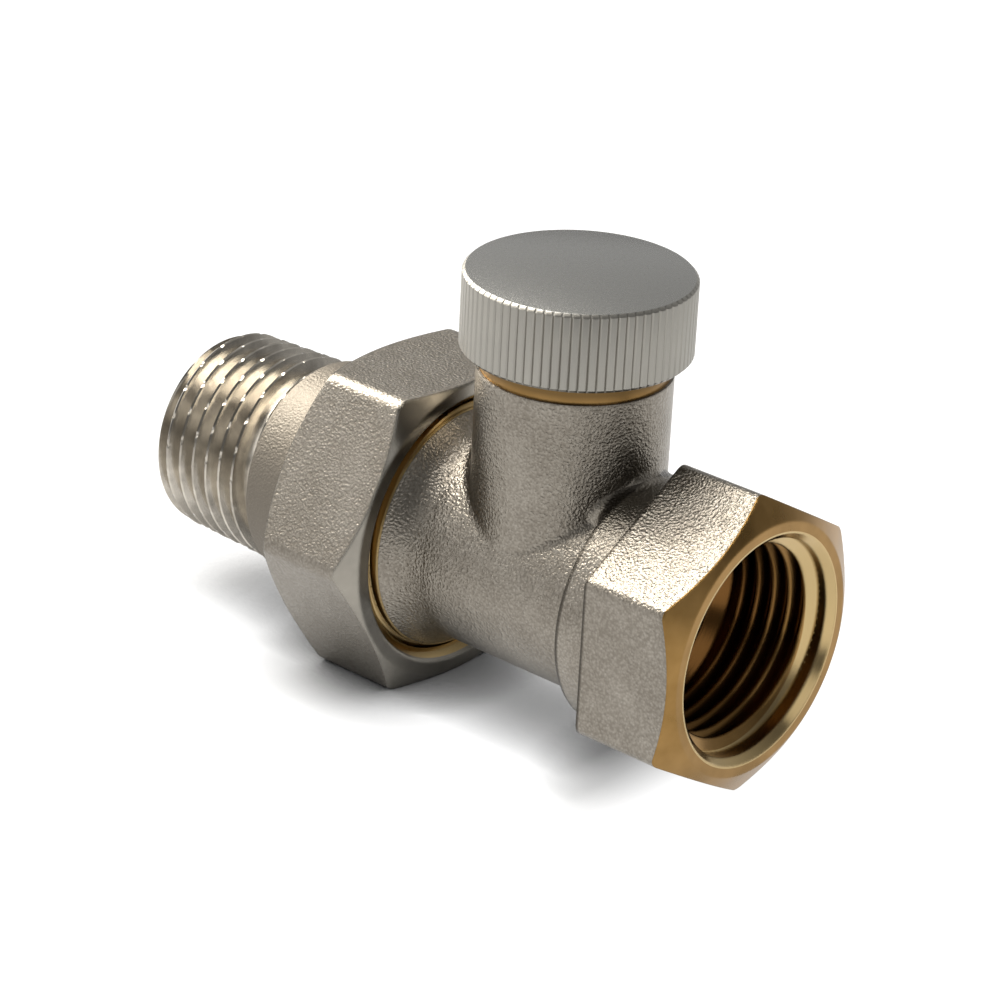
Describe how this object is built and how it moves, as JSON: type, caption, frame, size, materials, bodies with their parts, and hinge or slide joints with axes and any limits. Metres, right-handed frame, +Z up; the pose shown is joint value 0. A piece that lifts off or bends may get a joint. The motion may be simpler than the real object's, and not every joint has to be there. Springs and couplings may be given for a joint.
{
  "type": "lockshield radiator valve",
  "caption": "Straight manual radiator valve with a female hexagon port, union nut with male tail, stem neck and knurled cap.",
  "frame": {"origin": "centre of the female port's face, on the pipe axis", "axes": "+X along the pipe axis and out of the female port, +Z up along the stem, Y across"},
  "size_m": [0.0678, 0.0342, 0.0447],
  "materials": {
    "blasted_nickel": "blasted, nickel plated",
    "satin_nickel": "satin, nickel plated",
    "bright_nickel": "turned, nickel plated",
    "machined_brass": "turned, bare",
    "spring_steel": "bare spring wire",
    "seal_rubber": "matt",
    "washer_plastic": "white, slippery"
  },
  "bodies": {
    "body": {"valve_body": "blasted_nickel", "bonnet": "machined_brass", "bonnet_ring": "seal_rubber"},
    "spindle": {"spindle": "machined_brass", "spindle_ring_lower": "seal_rubber", "spindle_ring_upper": "seal_rubber", "thrust_washer": "washer_plastic", "spindle_clip": "spring_steel"},
    "plug": {"plug": "machined_brass", "plug_seal": "seal_rubber", "seal_washer": "machined_brass", "seal_screw": "machined_brass"},
    "gasket": {"cap_gasket": "seal_rubber"},
    "cap": {"cap": "satin_nickel"},
    "tail": {"tailpiece": "bright_nickel", "union_ring": "seal_rubber"},
    "nut": {"union_nut": "blasted_nickel"}
  },
  "joints": [
    {"name": "spindle_turn", "type": "hinge", "parent": "body", "child": "spindle", "pos_m": [-0.0234, 0, 0.02], "axis": [0, 0, 1], "range_deg": [0, 1440.2]},
    {"name": "plug_lift", "type": "slide", "parent": "body", "child": "plug", "axis": [0, 0, 1], "range_m": [0, 0.0032]},
    {"name": "gasket_lift", "type": "slide", "parent": "body", "child": "gasket", "axis": [0, 0, 1], "range_m": [0, 0.006]},
    {"name": "cap_turn", "type": "hinge", "parent": "gasket", "child": "cap", "pos_m": [-0.0234, 0, 0.026], "axis": [0, 0, 1], "range_deg": [0, 2160.2]},
    {"name": "tail_slide", "type": "slide", "parent": "body", "child": "tail", "axis": [-1, 0, 0], "range_m": [0, 0.008]},
    {"name": "nut_turn", "type": "hinge", "parent": "tail", "child": "nut", "pos_m": [-0.041, 0, 0], "axis": [-1, 0, 0], "range_deg": [0, 1588]}
  ],
  "couplings": [
    {"joint": "spindle_turn", "follows": "plug_lift", "rad_per_m": 7854},
    {"joint": "cap_turn", "follows": "gasket_lift", "rad_per_m": 6283.2},
    {"joint": "nut_turn", "follows": "tail_slide", "rad_per_m": 3463.7}
  ]
}
